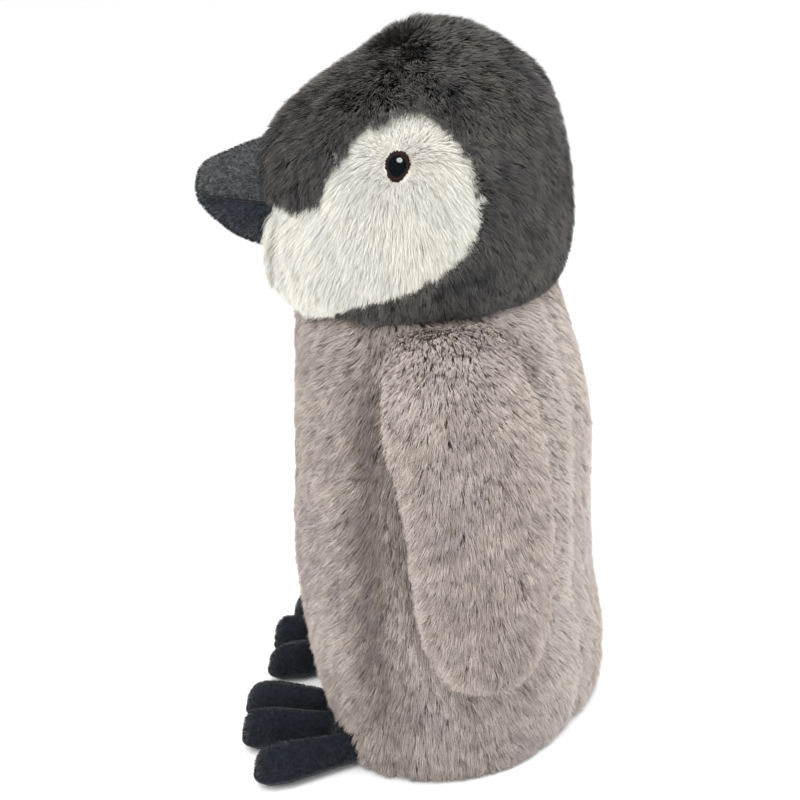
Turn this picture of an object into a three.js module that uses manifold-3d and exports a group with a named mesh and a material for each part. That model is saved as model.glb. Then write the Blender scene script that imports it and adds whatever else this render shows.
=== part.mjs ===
// Plush penguin chick, about 30 cm tall, sewn from fabric panels over polyester stuffing.
// Millimetres. +Z is up, the penguin faces -Y and its left side is +X.
// The origin is the middle of the flat base panel, at floor level.
// The panels are the pile fabric's backing: the pile itself stands a few millimetres outside them.
import * as THREE from 'three';
import { mergeVertices } from 'three/addons/utils/BufferGeometryUtils.js';
import Module from 'manifold-3d';

const wasm = await Module();
wasm.setup();

// ---------- driving dimensions ----------
const GAP = 0.3; // clearance between pieces that touch
const SKIN = 1.5; // fabric backing with its seam allowance
const FILL = 3.2; // how far inside the skin the filling stops
const FAR = 200; // reach of a cutting solid past the toy
const BALL_SIDES = 28;

// Torso outline, bottom to top: height, half width, depth in front of the axis, depth behind it.
const TORSO = [
  [0, 62, 46, 50],
  [5, 68, 51.5, 57],
  [16, 70.5, 53, 60],
  [34, 71, 57.5, 61],
  [66, 70.5, 60, 57.5],
  [96, 68, 58.5, 57.5],
  [126, 64.5, 55.5, 60],
  [154, 60, 52.5, 57.5],
  [176, 55, 50, 52.5],
  [192, 49, 48.5, 48.5],
  [212, 36, 36, 36],
];
const TORSO_MESH = { rows: 10, sides: 20 };
const TORSO_SEAMS = { front: 64, back: 150 }; // bearings of the body seams, in degrees from straight ahead
const TORSO_PANEL_TOP = 197;
const BASE_MARGIN = 1.5; // the base panel stops this far inside the bottom ring

// Head outline, bottom to top, in the same terms. The crown lies a little behind the axis.
const HEAD = [
  [184, 44, 46, 46],
  [192, 52.5, 53.5, 51.5],
  [203, 55.5, 56.5, 54],
  [216, 57, 56.5, 56],
  [231, 57, 55, 56],
  [246, 55.5, 55.5, 54.5],
  [259, 51.5, 50, 51.5],
  [271, 44, 37, 46.5],
  [282, 30.5, 18, 35.5],
  [289.5, 15.5, 5, 23],
];
const HEAD_MESH = { rows: 10, sides: 20 };
const CROWN = { y: 8, z: 293 };
const GUSSET_HALF = 21; // half width of the strip that runs from the beak over the crown

// Neck: the head turns and nods over the torso's dome, round one centre, with a lining between them.
const NECK = { z: 165, torsoR: 55.7, domeR: 52.6, liningR: [53.7, 55.7], headR: 56.8, liningDeg: 48, top: 174 };

// White face patch seen from the side: y, z of its edge, from the beak over the eye and down to the chin.
const FACE_EDGE = [
  [-56, 236], [-38, 240.5], [-28, 251], [-16, 262], [0, 267], [11, 262.5], [18.5, 249],
  [20.5, 233], [14, 221], [1, 210.5], [-14, 203.5], [-34, 198],
];
const FACE_FRONT = { y: -80, top: 236, bottom: 183 };

// Beak: distance ahead of the axis, top, bottom and half width of each section.
const BEAK = [
  [46, 257, 212.5, 17],
  [58, 256, 213, 17],
  [67, 254, 215, 16],
  [75, 251.5, 219.5, 14],
  [81, 249.5, 225, 11],
  [86, 245.5, 231.5, 6.5],
];
const BEAK_MESH = { rows: 6, sides: 12 };
const BEAK_TIP = { y: 88, z: 237 };
const BEAK_SKIN = 1.2;
const MOUTH = { tip: [-88, 237], root: [-54, 232.5] }; // the seam between the beak's panels, y and z

// Eye: an embroidered pad with an egg-shaped rim, a pupil and a small light stitch.
const EYE = { y: -6, z: 250.5, rim: [4.6, 5.9], pupil: [3.4, 3.9], thick: 1.4, lean: -11, off: 0.5 };
const GLINT = { at: [0.6, 2.1], half: [0.8, 0.9] };

// Wing: height, centre y, half width and thickness of each section, top to tip.
const WING = [
  [183.5, 6.5, 16, 8],
  [178, 7, 20.5, 11],
  [167, 8.5, 24.5, 13.5],
  [150, 10.5, 27, 15],
  [136, 12.5, 26, 15.5],
  [120, 14, 25, 15.5],
  [94, 14, 24, 15.5],
  [74, 13.5, 21.5, 14.5],
  [60, 13.5, 17, 12],
  [53, 13.5, 9.5, 8],
];
const WING_MESH = { rows: 8, sides: 10 };
const WING_ENDS = { top: 185, tip: 50 };
const WING_OFF = 4; // space between the wing and the torso, for the pile
const WING_WRAP = 0.5; // how far the wing follows the torso's curve, from 0, flat, to 1
const SHOULDER = { x: 59.5, y: 8, z: 185.8, length: 22, width: 4.4, thick: 1.2, inset: 5 };

// Foot: three toes on a palm, hinged where it is sewn in under the belly.
const FOOT = { x: 36, y: -47, z: 8.8, yaw: 8, palm: [21, 25, 7.6], palmY: -18, lift: 20, drop: 10, room: 1.4 };
const TOE = { radius: 8.2, outer: [[12, -16], [23.5, -34]], middle: [[0, -16], [0, -37]], sides: 8 };
const FOOT_SKIN = 1.2;

const PELLETS = { z: 13, half: [44, 36, 14] };

// ---------- materials ----------
const cloth = (color, roughness = 0.95) => new THREE.MeshStandardMaterial({ color, roughness, metalness: 0 });
const MATERIAL = {
  grey: cloth(0xa2988f),
  wing: cloth(0xa89c94),
  charcoal: cloth(0x464545),
  white: cloth(0xe1ded3),
  beak: cloth(0x4b4e52),
  foot: cloth(0x262a32),
  stuffing: cloth(0xf2f0ea),
  lining: cloth(0xd8d2c6),
  maroon: cloth(0x312428, 0.6),
  black: cloth(0x13161f, 0.5),
  glint: cloth(0xa3a6a2, 0.5),
};

// ---------- solids ----------
function toManifold(geometry) {
  geometry.deleteAttribute('normal');
  geometry.deleteAttribute('uv');
  const merged = mergeVertices(geometry, 1e-4);
  return new wasm.Manifold(new wasm.Mesh({
    numProp: 3,
    vertProperties: Float32Array.from(merged.attributes.position.array),
    triVerts: Uint32Array.from(merged.index.array),
  }));
}

function toGeometry(manifold) {
  const { vertProperties, triVerts } = manifold.getMesh();
  const geometry = new THREE.BufferGeometry();
  geometry.setAttribute('position', new THREE.BufferAttribute(Float32Array.from(vertProperties), 3));
  geometry.setIndex(Array.from(triVerts));
  geometry.computeVertexNormals();
  return geometry;
}

const at = (geometry, x, y, z) => toManifold(geometry.translate(x, y, z));
const box = (sx, sy, sz, x, y, z) => at(new THREE.BoxGeometry(sx, sy, sz), x, y, z);
const ball = (r, z) => at(new THREE.SphereGeometry(r, BALL_SIDES, BALL_SIDES / 2).rotateX(Math.PI / 2), 0, 0, z);
const side = (sign, gap) => box(FAR, 4 * FAR, 4 * FAR, sign * (FAR / 2 + gap), 0, 0);
const mirrored = (manifold) => manifold.mirror([1, 0, 0]);

// A closed skin over rings of points, with one point beyond each end ring.
function loft(rings, first, last) {
  const n = rings[0].length;
  const positions = [first, ...rings.flat(), last].flatMap((p) => [p.x, p.y, p.z]);
  const end = rings.length * n + 1;
  const index = [];
  for (let j = 0; j < n; j++) {
    const k = (j + 1) % n;
    index.push(0, 1 + k, 1 + j);
    index.push(end, end - n + j, end - n + k);
    for (let i = 0; i < rings.length - 1; i++) {
      const a = 1 + i * n;
      const b = a + n;
      index.push(a + j, a + k, b + k, a + j, b + k, b + j);
    }
  }
  const build = (order) => {
    const geometry = new THREE.BufferGeometry();
    geometry.setAttribute('position', new THREE.Float32BufferAttribute(positions, 3));
    geometry.setIndex(order);
    return toManifold(geometry);
  };
  const solid = build(index);
  return solid.volume() > 0 ? solid : build([...index].reverse());
}

// A prism along X over an outline of y, z points that runs anticlockwise seen from +X.
function prismX(outline, length) {
  const shape = new THREE.Shape(outline.map(([y, z]) => new THREE.Vector2(y, z)));
  const turn = new THREE.Matrix4().makeBasis(
    new THREE.Vector3(0, 1, 0), new THREE.Vector3(0, 0, 1), new THREE.Vector3(1, 0, 0));
  const geometry = new THREE.ExtrudeGeometry(shape, { depth: length, bevelEnabled: false });
  return toManifold(geometry.translate(0, 0, -length / 2).applyMatrix4(turn));
}

// A prism along Z over an outline of x, y points.
function prismZ(outline, low, high) {
  const shape = new THREE.Shape(outline.map(([x, y]) => new THREE.Vector2(x, y)));
  const geometry = new THREE.ExtrudeGeometry(shape, { depth: high - low, bevelEnabled: false });
  return toManifold(geometry.translate(0, 0, low));
}

// A smooth curve through rows of numbers. It is read at 0 to 1.
function through(rows) {
  const times = rows.map((_, i) => i / (rows.length - 1));
  const width = rows[0].length;
  const curve = new THREE.CubicInterpolant(times, rows.flat(), width, new Float32Array(width));
  return (t) => Array.from(curve.evaluate(t));
}

const steps = (count) => Array.from({ length: count }, (_, i) => i / (count - 1));
const torsoAt = through(TORSO);
const headAt = through(HEAD);
const beakAt = through(BEAK);
const wingAt = through(WING);

// The section of a body at a height, found by halving.
function sectionAt(curve, z) {
  let [low, high] = [0, 1];
  for (let i = 0; i < 24; i++) {
    const middle = (low + high) / 2;
    if (curve(middle)[0] < z) low = middle;
    else high = middle;
  }
  return curve(low);
}

// Half width of a body where it is cut at y and z.
function surfaceX(curve, y, z) {
  const [, half, front, back] = sectionAt(curve, z);
  const depth = y < 0 ? front : back;
  return half * Math.sqrt(1 - (y / depth) ** 2);
}

// A level ring round a body, drawn in by inset.
function bodyRing([z, half, front, back], sides, inset) {
  return Array.from({ length: sides }, (_, j) => {
    const a = (2 * Math.PI * (j + 0.5)) / sides;
    const depth = Math.cos(a) > 0 ? front : back;
    return new THREE.Vector3((half - inset) * Math.sin(a), -(depth - inset) * Math.cos(a), z);
  });
}

// ---------- torso ----------
// A cone that opens upwards from the neck's centre.
function neckCone(degrees) {
  const height = 2 * NECK.headR;
  const radius = height * Math.tan(THREE.MathUtils.degToRad(degrees));
  return at(new THREE.ConeGeometry(radius, height, BALL_SIDES).rotateX(-Math.PI / 2), 0, 0, NECK.z + height / 2);
}

function torsoSolid(inset) {
  const rings = steps(TORSO_MESH.rows).map((t) => bodyRing(torsoAt(t), TORSO_MESH.sides, inset));
  const bottom = new THREE.Vector3(0, 0, TORSO[0][0]);
  const top = new THREE.Vector3(0, 0, TORSO[TORSO.length - 1][0] + 3);
  const shoulders = box(FAR, FAR, FAR + NECK.top, 0, 0, (NECK.top - FAR) / 2).add(ball(NECK.torsoR - inset, NECK.z));
  return loft(rings, bottom, top).intersect(shoulders).intersect(box(FAR, FAR, 2 * FAR, 0, 0, FAR + inset));
}

// A cap of lining fabric that closes the torso under the head.
function neckLining() {
  const [inner, outer] = NECK.liningR;
  return ball(outer, NECK.z).subtract(ball(inner, NECK.z)).intersect(neckCone(NECK.liningDeg));
}

function sector(from, to) {
  const corner = (bearing) => {
    const a = THREE.MathUtils.degToRad(bearing);
    return [FAR * Math.sin(a), -FAR * Math.cos(a)];
  };
  const gapAngle = 0.15;
  const middle = (from + to) / 2;
  const outline = [[0, 0], corner(from + gapAngle), corner(middle), corner(to - gapAngle)];
  return prismZ(outline, -FAR, FAR + TORSO_PANEL_TOP);
}

function baseDisc(grow) {
  const [, half, front, back] = TORSO[0];
  const ring = bodyRing([0, half, front, back], TORSO_MESH.sides, BASE_MARGIN - grow);
  return prismZ(ring.map((p) => [p.x, p.y]), 0, SKIN);
}

function pelletBag(grow) {
  const half = PELLETS.half.map((r) => r + grow);
  const bag = at(new THREE.SphereGeometry(1, 14, 8).scale(...half), 0, 0, PELLETS.z);
  return bag.intersect(box(FAR, FAR, FAR, 0, 0, FAR / 2 + SKIN + GAP - 10 * grow));
}

function footPlaced(manifold, sign) {
  const left = manifold.rotate([0, 0, FOOT.yaw]).translate([FOOT.x, FOOT.y, FOOT.z]);
  return sign > 0 ? left : mirrored(left);
}

// The space that a foot takes up in the belly as it flexes.
function footPockets() {
  const poses = [FOOT.drop, 0, -FOOT.lift];
  const swept = poses.map((degrees) => footSolid(-FOOT.room).rotate([degrees, 0, 0])).reduce((a, b) => a.add(b));
  return footPlaced(swept, 1).add(footPlaced(swept, -1));
}

function torsoPieces() {
  const pockets = footPockets();
  const liningRoom = neckCone(NECK.liningDeg + 2).subtract(ball(NECK.domeR, NECK.z));
  const inside = torsoSolid(FILL).subtract(pockets).subtract(liningRoom);
  const shell = torsoSolid(0).subtract(torsoSolid(SKIN)).subtract(pockets).subtract(baseDisc(GAP))
    .intersect(box(FAR, FAR, 2 * FAR, 0, 0, TORSO_PANEL_TOP - FAR));
  const { front, back } = TORSO_SEAMS;
  return {
    body_front_panel: [shell.intersect(sector(-front, front)), 'grey'],
    body_side_panel_left: [shell.intersect(sector(front, back)), 'grey'],
    body_side_panel_right: [shell.intersect(sector(-back, -front)), 'grey'],
    body_back_panel: [shell.intersect(sector(back, 360 - back)), 'grey'],
    base_panel: [baseDisc(0).subtract(pockets), 'grey'],
    pellet_bag: [pelletBag(0), 'lining'],
    torso_stuffing: [inside.subtract(pelletBag(GAP)), 'stuffing'],
    neck_lining: [neckLining(), 'lining'],
  };
}

// ---------- head ----------
function headSolid(inset) {
  const centred = ([z, half, front, back]) => bodyRing([z, half, front, back], HEAD_MESH.sides, inset);
  const rings = steps(HEAD_MESH.rows).map((t) => centred(headAt(t)));
  const bottom = new THREE.Vector3(0, 0, HEAD[0][0]);
  return loft(rings, bottom, new THREE.Vector3(0, CROWN.y, CROWN.z - inset));
}

function faceRegion(grow) {
  const edge = new THREE.SplineCurve(FACE_EDGE.map(([y, z]) => new THREE.Vector2(y, z))).getPoints(36);
  const outline = [
    [FACE_FRONT.y, FACE_FRONT.bottom - grow],
    [edge[36].x, FACE_FRONT.bottom - grow],
    ...edge.map((p, i) => {
      const before = edge[Math.max(i - 1, 0)];
      const after = edge[Math.min(i + 1, 36)];
      const normal = new THREE.Vector2(before.y - after.y, after.x - before.x).normalize();
      return [p.x + grow * normal.x, p.y + grow * normal.y];
    }).reverse(),
    [FACE_FRONT.y, FACE_FRONT.top + grow],
  ];
  return prismX(outline, 2 * FAR);
}

function headPieces() {
  const neckRoom = ball(NECK.headR, NECK.z);
  const shell = headSolid(0).subtract(headSolid(SKIN)).subtract(neckRoom);
  const face = shell.intersect(faceRegion(0));
  const hood = shell.subtract(faceRegion(GAP));
  const strip = box(2 * GUSSET_HALF - GAP, 4 * FAR, 4 * FAR, 0, 0, 0);
  return {
    hood_gusset: [hood.intersect(strip), 'charcoal'],
    hood_left: [hood.intersect(side(1, GUSSET_HALF + GAP / 2)), 'charcoal'],
    hood_right: [hood.intersect(side(-1, GUSSET_HALF + GAP / 2)), 'charcoal'],
    face_patch_left: [face.intersect(side(1, GAP / 2)), 'white'],
    face_patch_right: [face.intersect(side(-1, GAP / 2)), 'white'],
    head_stuffing: [headSolid(FILL).subtract(neckRoom), 'stuffing'],
  };
}

// ---------- beak ----------
function beakSolid(inset) {
  const rings = steps(BEAK_MESH.rows).map((t) => {
    const [ahead, top, bottom, half] = beakAt(t);
    const middle = (top + bottom) / 2;
    return Array.from({ length: BEAK_MESH.sides }, (_, j) => {
      const a = (2 * Math.PI * j) / BEAK_MESH.sides;
      return new THREE.Vector3((half - inset) * Math.sin(a), -ahead, middle + ((top - bottom) / 2 - inset) * Math.cos(a));
    });
  });
  const root = new THREE.Vector3(0, -BEAK[0][0] + 2, 232);
  return loft(rings, root, new THREE.Vector3(0, -BEAK_TIP.y + inset, BEAK_TIP.z));
}

function mouthSide(sign) {
  const slope = (MOUTH.tip[1] - MOUTH.root[1]) / (MOUTH.tip[0] - MOUTH.root[0]);
  const line = (y) => [y, MOUTH.root[1] + slope * (y - MOUTH.root[0]) + (sign * GAP) / 2];
  const outline = [line(-FAR), line(0), [0, sign * FAR * 2], [-FAR, sign * FAR * 2]];
  return prismX(sign > 0 ? outline : outline.reverse(), FAR);
}

function beakPieces() {
  const head = headSolid(-GAP);
  const shell = beakSolid(0).subtract(beakSolid(BEAK_SKIN)).subtract(head);
  return {
    beak_upper: [shell.intersect(mouthSide(1)), 'beak'],
    beak_lower: [shell.intersect(mouthSide(-1)), 'beak'],
    beak_stuffing: [beakSolid(FILL).subtract(head), 'stuffing'],
  };
}

// ---------- eyes ----------
// An egg outline, wider towards the top.
function eggPoints([half, tall], grow = 0) {
  return Array.from({ length: 14 }, (_, j) => {
    const a = (2 * Math.PI * j) / 14;
    const swell = 1 + 0.1 * Math.sin(a);
    return new THREE.Vector2((half * swell + grow) * Math.cos(a), (tall + grow) * Math.sin(a));
  });
}

function eyePad(points, holePoints) {
  const shape = new THREE.Shape(points);
  if (holePoints) shape.holes.push(new THREE.Path(holePoints));
  return toManifold(new THREE.ExtrudeGeometry(shape, { depth: EYE.thick, bevelEnabled: false }));
}

// Turns a pad so that it lies on the head's left side, facing out.
function onHead(manifold) {
  const reach = 1;
  const point = (y, z) => new THREE.Vector3(surfaceX(headAt, y, z), y, z);
  const across = point(EYE.y + reach, EYE.z).sub(point(EYE.y - reach, EYE.z)).normalize();
  const up = point(EYE.y, EYE.z + reach).sub(point(EYE.y, EYE.z - reach)).normalize();
  const out = new THREE.Vector3().crossVectors(across, up).normalize();
  const centre = point(EYE.y, EYE.z).addScaledVector(out, EYE.off);
  const place = new THREE.Matrix4().makeBasis(across, new THREE.Vector3().crossVectors(out, across), out);
  place.setPosition(centre);
  return manifold.rotate([0, 0, EYE.lean]).transform(place.elements);
}

function eyePieces() {
  const glint = eggPoints(GLINT.half).map((p) => p.add(new THREE.Vector2(...GLINT.at)));
  const glintHole = eggPoints(GLINT.half, GAP).map((p) => p.add(new THREE.Vector2(...GLINT.at)));
  const pads = {
    eye_rim: [eyePad(eggPoints(EYE.rim), eggPoints(EYE.pupil, GAP)), 'maroon'],
    eye_pupil: [eyePad(eggPoints(EYE.pupil), glintHole), 'black'],
    eye_glint: [eyePad(glint), 'glint'],
  };
  const pieces = {};
  for (const [name, [pad, material]] of Object.entries(pads)) {
    pieces[`${name}_left`] = [onHead(pad), material];
    pieces[`${name}_right`] = [mirrored(onHead(pad)), material];
  }
  return pieces;
}

// ---------- wings ----------
// The wing's middle surface stands off the torso and follows part of its curve.
function wingMiddle(y, z) {
  const [, centre] = sectionAt((t) => wingAt(1 - t), z);
  const straight = surfaceX(torsoAt, centre, z);
  return straight + WING_WRAP * (surfaceX(torsoAt, y, z) - straight);
}

function wingSolid(inset) {
  const rings = steps(WING_MESH.rows).map((t) => {
    const [z, centre, half, thick] = wingAt(t);
    return Array.from({ length: WING_MESH.sides }, (_, j) => {
      const a = (2 * Math.PI * j) / WING_MESH.sides;
      const y = centre + (half - inset) * Math.cos(a);
      const x = wingMiddle(y, z) + WING_OFF + thick / 2 + (thick / 2 - inset) * Math.sin(a);
      return new THREE.Vector3(x, y, z);
    });
  });
  const end = (row, z) => new THREE.Vector3(wingMiddle(row[1], row[0]) + WING_OFF + row[3] / 2, row[1], z);
  const top = end(WING[0], WING_ENDS.top - inset);
  const tip = end(WING[WING.length - 1], WING_ENDS.tip + inset);
  return loft(rings, top, tip);
}

// Everything outside the wing's middle surface.
function wingOutside(gap) {
  const heights = steps(WING_MESH.rows).map((t) => THREE.MathUtils.lerp(WING_ENDS.top + 2, WING_ENDS.tip - 2, t));
  const reach = 32;
  const across = steps(5).map((t) => THREE.MathUtils.lerp(-reach, reach, t));
  const rings = heights.map((z) => {
    const [, centre, , thick] = sectionAt((t) => wingAt(1 - t), z);
    const near = across.map((d) => new THREE.Vector3(wingMiddle(centre + d, z) + WING_OFF + thick / 2 + gap, centre + d, z));
    const far = [reach, -reach].map((d) => new THREE.Vector3(FAR, centre + d, z));
    return [...near, ...far];
  });
  const cap = (ring, dz) => ring[2].clone().setX(FAR / 2).add(new THREE.Vector3(0, 0, dz));
  return loft(rings.map((r) => [...r].reverse()), cap(rings[0], 1), cap(rings[rings.length - 1], -1));
}

function wingPieces(label, place) {
  const shell = wingSolid(0).subtract(wingSolid(SKIN));
  const strap = box(SHOULDER.width, SHOULDER.length, SHOULDER.thick, 0, 0, SHOULDER.thick / 2)
    .translate([SHOULDER.x - SHOULDER.inset + SHOULDER.width / 2, SHOULDER.y, SHOULDER.z]);
  return {
    [`wing_outer_panel_${label}`]: [place(shell.intersect(wingOutside(GAP / 2))), 'wing'],
    [`wing_inner_panel_${label}`]: [place(shell.subtract(wingOutside(-GAP / 2))), 'wing'],
    [`wing_stuffing_${label}`]: [place(wingSolid(SKIN + GAP)), 'stuffing'],
    [`shoulder_seam_${label}`]: [place(strap), 'lining'],
  };
}

// ---------- feet ----------
function toe([[x0, y0], [x1, y1]], inset) {
  const length = Math.hypot(x1 - x0, y1 - y0);
  const turn = Math.atan2(x1 - x0, -(y1 - y0));
  const capsule = new THREE.CapsuleGeometry(TOE.radius - inset, length, 2, TOE.sides);
  return at(capsule.rotateZ(turn), (x0 + x1) / 2, (y0 + y1) / 2, 0);
}

function footSolid(inset) {
  const half = FOOT.palm.map((r) => r - inset);
  const palm = at(new THREE.SphereGeometry(1, 10, 6).scale(...half), 0, FOOT.palmY, 0);
  const outerToe = toe(TOE.outer, inset);
  return palm.add(toe(TOE.middle, inset)).add(outerToe).add(mirrored(outerToe));
}

function footPieces(label, sign) {
  const shell = footSolid(0).subtract(footSolid(FOOT_SKIN));
  const above = box(FAR, FAR, FAR, 0, 0, FAR / 2 + GAP / 2);
  const below = box(FAR, FAR, FAR, 0, 0, -FAR / 2 - GAP / 2);
  return {
    [`foot_upper_${label}`]: [footPlaced(shell.intersect(above), sign), 'foot'],
    [`foot_sole_${label}`]: [footPlaced(shell.intersect(below), sign), 'foot'],
    [`foot_stuffing_${label}`]: [footPlaced(footSolid(FOOT_SKIN + GAP), sign), 'stuffing'],
  };
}

// ---------- assembly ----------
const pieces = {
  ...torsoPieces(),
  ...headPieces(),
  ...beakPieces(),
  ...eyePieces(),
  ...wingPieces('left', (m) => m),
  ...wingPieces('right', mirrored),
  ...footPieces('left', 1),
  ...footPieces('right', -1),
};

const penguin = new THREE.Group();
for (const [name, [manifold, material]] of Object.entries(pieces)) {
  const mesh = new THREE.Mesh(toGeometry(manifold), MATERIAL[material].clone());
  mesh.name = name;
  penguin.add(mesh);
}

export default penguin;
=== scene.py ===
"""Plush penguin chick: sewn panels under a pile of real strands, velour beak and feet, embroidered eyes."""

import math

import bmesh
import bpy
import numpy as np
from mathutils import Matrix, Vector, kdtree
from mathutils.bvhtree import BVHTree


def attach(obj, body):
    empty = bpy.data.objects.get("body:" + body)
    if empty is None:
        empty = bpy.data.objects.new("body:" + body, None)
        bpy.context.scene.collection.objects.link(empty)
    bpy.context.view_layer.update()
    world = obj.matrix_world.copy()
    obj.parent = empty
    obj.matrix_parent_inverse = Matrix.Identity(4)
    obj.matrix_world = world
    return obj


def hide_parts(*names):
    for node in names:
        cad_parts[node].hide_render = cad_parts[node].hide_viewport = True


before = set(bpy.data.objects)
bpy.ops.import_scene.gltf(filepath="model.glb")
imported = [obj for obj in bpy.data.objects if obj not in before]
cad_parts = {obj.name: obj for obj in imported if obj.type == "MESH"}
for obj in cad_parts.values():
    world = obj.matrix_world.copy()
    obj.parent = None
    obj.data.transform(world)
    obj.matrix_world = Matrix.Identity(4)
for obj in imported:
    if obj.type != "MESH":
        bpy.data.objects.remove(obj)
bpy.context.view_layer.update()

MM = 0.001
DENSITY = 1.0  # share of the pile's strands that are made
MOST_TRIANGLES = 198000  # in one piece of pile
SWELL_FRAMES = 20
SIDES = ((1, "left"), (-1, "right"))
TOE_BLEND = 0.7  # how softly the toes run into the foot, in millimetres

# ---------------------------------------------------------------- shapes, in millimetres
# Sections of the torso and head, bottom to top: height, half width, depth ahead of the section's centre,
# depth behind it, and how far behind the axis the centre lies.
TORSO = [
    (0.4, 64, 45.5, 52, 0),
    (1.2, 67, 48.5, 55, 0),
    (5, 69.5, 51, 57.5, 0),
    (16, 71, 52.2, 60.5, 0),
    (34, 71.5, 56.3, 62, 0),
    (66, 70.5, 59.8, 58.2, 0),
    (96, 68, 58.3, 58.8, 0),
    (126, 64.5, 55.8, 60.8, 0),
    (154, 60, 52.8, 58, 0),
    (176, 54.5, 50.5, 53, 0),
    (190, 48.5, 48.3, 49.5, 0),
    (199, 42, 41.5, 42.5, 0),
]
HEAD = [
    (187, 46.5, 48, 47.5, 0),
    (191, 51, 52.4, 50.6, 0),
    (194.5, 53.2, 54.2, 52.3, 0),
    (203, 55.5, 56, 54, 0),
    (216, 57, 56.5, 56, 0),
    (231, 57, 55.4, 56, 0),
    (246, 55.5, 56.6, 54.5, 0),
    (259, 51.5, 50.2, 51.8, 0),
    (271, 44.3, 37.3, 45.8, 1),
    (282, 31, 22.2, 30.5, 5),
    (289.5, 16.5, 13, 16, 8.5),
    (292.4, 7, 6.5, 7, 8.5),
    (293, 0, 0, 0, 8.5),
]
# The base: how far out each ring lies, as a share of the torso's lowest ring, and its height.
BASE = [(0.02, 1), (0.2, 1), (0.4, 1), (0.6, 1), (0.8, 1), (0.92, 1.1), (0.97, 1.4), (1, 2.2)]
BODY_SEAMS = (64, 150, 210, 296)  # bearings in degrees, 0 straight ahead, growing towards the left side
SEAM_STEPS = (44, 30, 20, 30)  # columns of the torso's grid in each panel, the front panel first
GUSSET_HALF = 21  # half width of the strip that runs from the beak over the crown
# The edge of the white face patch seen from the side, from the beak over the eye to the chin: y and z.
FACE_EDGE = [
    (-56, 236), (-37, 239.5), (-29, 251), (-17.5, 263), (-1, 268.5), (11, 263.5), (19, 250.5),
    (21.5, 234), (16.5, 220.5), (1.5, 209.5), (-14, 203.5), (-24, 200.5), (-32, 196), (-36, 190),
]
FACE_FRONT = 235.5  # height of the face patch's top edge beside the beak

# Wing sections from top to tip: height, centre, half width, thickness.
WING = [
    (188, 6.3, 12, 3),
    (186.5, 6.3, 18, 7),
    (181, 7, 22, 11.5),
    (169, 8.3, 24.8, 13.5),
    (150, 10.5, 27, 15),
    (136, 12.5, 26, 15.5),
    (120, 14.2, 24.8, 15.5),
    (94, 14, 23.8, 15.5),
    (74, 13.7, 21.5, 14.5),
    (60, 13.8, 17, 12),
    (53, 13.5, 9.5, 8),
    (50.4, 13.5, 1, 1),
]
WING_OFF = 4  # gap between the torso and the wing
WING_WRAP = 0.5  # share of the torso's curve that the wing follows

# Beak sections from root to tip: distance ahead of the axis, top, mouth, bottom, half width.
BEAK = [
    (46, 257, 231.5, 212.5, 17),
    (58, 256.1, 233, 213, 17),
    (67, 254.1, 234.5, 215, 16),
    (75, 251.7, 235.6, 219.4, 14),
    (81, 249.6, 236.3, 225, 11),
    (85, 247.4, 236.8, 229.8, 7.8),
    (87.2, 244, 237, 232.8, 4.8),
    (88.2, 239.2, 237, 235.6, 1.6),
    (88.6, 237.3, 237, 236.7, 0.2),
]

EYE = {"y": -6.2, "z": 250.9, "rim": (4.4, 5.6), "pupil": (3.4, 3.8), "lean": 12}
GLINT = {"back": 0.7, "up": 2.3, "radius": 1.0}

# The left foot's place and turn, its seam, and how far its two panels stand above and below the seam.
FOOT = {"x": 36, "y": -47, "z": 9.6, "yaw": 8, "seam": -4.6, "height": 11.6, "sole": 3.6}
FOOT_ASKEW = (5.5, 7, 0)  # the right foot is sewn on further out and further back
# The root and the tip of each toe's middle line, from above.
TOES = [((-12.5, 2), (-28, -36.5)), ((2, 2), (-4, -39)), ((18, 1), (24.5, -35.2))]

# ---------------------------------------------------------------- camera, floor and light
CAMERA = {
    "azimuth": 92,
    "elevation": 20,
    "roll": 5,
    "distance": 0.6193,
    "target": (0, -0.0145, 0.1412),
    "lens": 65.8,
}
FLOOR_REACH = 6.0
LIT_POINT = Vector((0, 0, 0.15))


def add_object(name, data):
    thing = bpy.data.objects.new(name, data)
    bpy.context.scene.collection.objects.link(thing)
    return thing


def mesh_of(name, points, faces):
    mesh = bpy.data.meshes.new(name)
    mesh.from_pydata(points, [], faces)
    return mesh


def set_inputs(node, values):
    for word, value in values.items():
        node.inputs[word].default_value = value


def add_camera():
    """The camera stands on the penguin's left side, a little above it and tilted."""
    az, el = math.radians(CAMERA["azimuth"]), math.radians(CAMERA["elevation"])
    back = Vector((math.sin(az) * math.cos(el), -math.cos(az) * math.cos(el), math.sin(el)))
    right = Vector((math.cos(az), math.sin(az), 0))
    up = back.cross(right)
    roll = math.radians(CAMERA["roll"])
    tilted_right = right * math.cos(roll) - up * math.sin(roll)
    tilted_up = up * math.cos(roll) + right * math.sin(roll)
    place = Matrix((tilted_right, tilted_up, back)).transposed().to_4x4()
    place.translation = Vector(CAMERA["target"]) + back * CAMERA["distance"]
    data = bpy.data.cameras.new("camera")
    data.lens = CAMERA["lens"]
    data.clip_start = 0.01
    camera = add_object("camera", data)
    camera.matrix_world = place
    bpy.context.scene.camera = camera


def add_area_light(name, place, size, power):
    """A round white lamp that faces the middle of the toy."""
    data = bpy.data.lights.new(name, "AREA")
    data.shape = "DISK"
    data.size = size
    data.energy = power
    lamp = add_object(name, data)
    lamp.location = place
    lamp.rotation_euler = (LIT_POINT - Vector(place)).to_track_quat("-Z", "Y").to_euler()


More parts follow.
